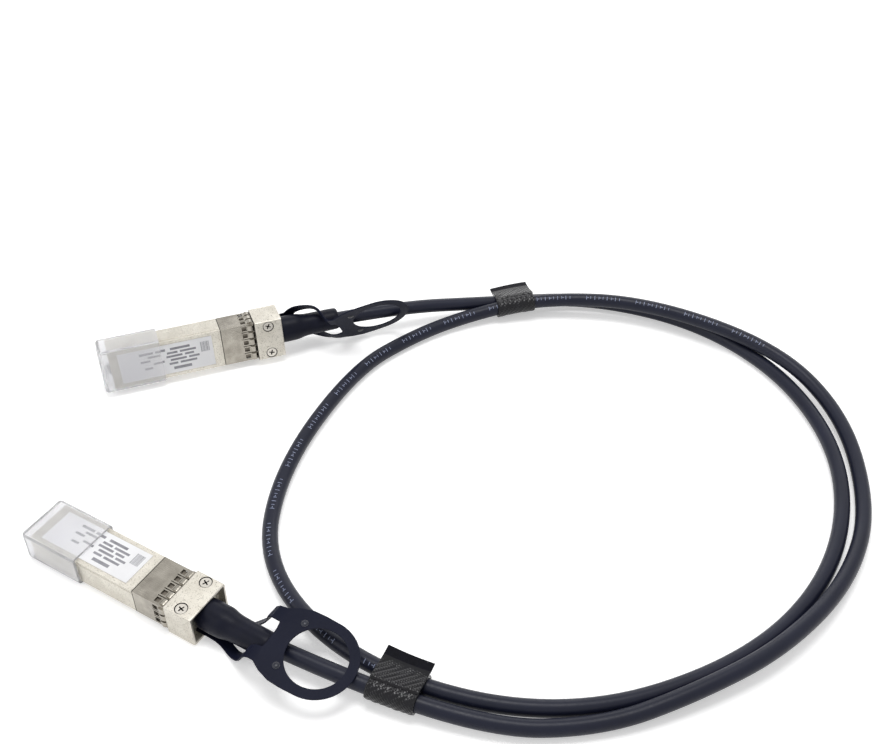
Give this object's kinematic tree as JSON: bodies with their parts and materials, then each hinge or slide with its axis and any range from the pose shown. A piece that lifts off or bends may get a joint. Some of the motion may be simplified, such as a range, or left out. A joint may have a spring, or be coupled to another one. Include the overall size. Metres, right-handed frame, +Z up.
{
  "type": "direct attach copper cable",
  "caption": "Direct attach copper cable: one looped twinaxial lead with a pluggable metal module, dust cap and finger-ring pull tab at each end, held by hook-and-loop ties.",
  "frame": {"origin": "on the table, under the middle of the box round the two plugs", "axes": "+Z up from the table; +Y from the plug that lies flat towards the plug that lies on its side; +X towards the coil"},
  "size_m": [0.2445, 0.1784, 0.0215],
  "materials": {
    "housing_metal": "satin nickel plate on die-cast zinc",
    "latch_steel": "stamped stainless, satin",
    "screw_steel": "nickel-plated screw heads",
    "collar_steel": "bright formed spring sheet",
    "board_laminate": "solder-masked laminate",
    "pad_gold": "gold-plated contact pads",
    "chip_black": "moulded chip packages",
    "wire_insulation": "insulated conductors",
    "ferrule_metal": "plain crimped metal",
    "sleeve_black": "shrunk sleeve, slight sheen",
    "tab_plastic": "satin sheet plastic",
    "rivet_plastic": "pressed plastic rivet heads",
    "label_film": "matt printed film with plain grey bars",
    "cap_plastic": "milky see-through moulded plastic",
    "cable_jacket": "satin extruded jacket",
    "tie_fabric": "woven hook-and-loop strap"
  },
  "bodies": {
    "assembly": {"plug_a_housing_base": "housing_metal", "plug_a_housing_cover": "housing_metal", "plug_a_latch_cover": "latch_steel", "plug_a_screws": "screw_steel", "plug_a_emi_collar": "collar_steel", "plug_a_circuit_board": "board_laminate", "plug_a_contact_pads": "pad_gold", "plug_a_board_chips": "chip_black", "plug_a_inner_wires": "wire_insulation", "plug_a_crimp_ferrule": "ferrule_metal", "plug_a_heat_shrink": "sleeve_black", "plug_a_label": "label_film", "plug_b_housing_base": "housing_metal", "plug_b_housing_cover": "housing_metal", "plug_b_latch_cover": "latch_steel", "plug_b_screws": "screw_steel", "plug_b_emi_collar": "collar_steel", "plug_b_circuit_board": "board_laminate", "plug_b_contact_pads": "pad_gold", "plug_b_board_chips": "chip_black", "plug_b_inner_wires": "wire_insulation", "plug_b_crimp_ferrule": "ferrule_metal", "plug_b_heat_shrink": "sleeve_black", "plug_b_label": "label_film", "cable": "cable_jacket", "tie_1": "tie_fabric", "tie_2": "tie_fabric"},
    "plug_a_release": {"plug_a_release_slide": "latch_steel", "plug_a_pull_tab": "tab_plastic", "plug_a_tab_rivets": "rivet_plastic"},
    "plug_a_cap": {"plug_a_dust_cap": "cap_plastic"},
    "plug_b_release": {"plug_b_release_slide": "latch_steel", "plug_b_pull_tab": "tab_plastic", "plug_b_tab_rivets": "rivet_plastic"},
    "plug_b_cap": {"plug_b_dust_cap": "cap_plastic"}
  },
  "joints": [
    {"name": "plug_a_release_slide", "type": "slide", "parent": "assembly", "child": "plug_a_release", "axis": [0.9373, 0.3486, 0], "range_m": [0, 0.0025], "stiffness_N_per_m": 300, "springref_m": -0.003},
    {"name": "plug_a_cap_slide", "type": "slide", "parent": "assembly", "child": "plug_a_cap", "axis": [-0.9373, -0.3486, 0], "range_m": [0, 0.02]},
    {"name": "plug_b_release_slide", "type": "slide", "parent": "assembly", "child": "plug_b_release", "axis": [0.8695, -0.4939, 0], "range_m": [0, 0.0025], "stiffness_N_per_m": 300, "springref_m": -0.003},
    {"name": "plug_b_cap_slide", "type": "slide", "parent": "assembly", "child": "plug_b_cap", "axis": [-0.8695, 0.4939, 0], "range_m": [0, 0.02]}
  ]
}
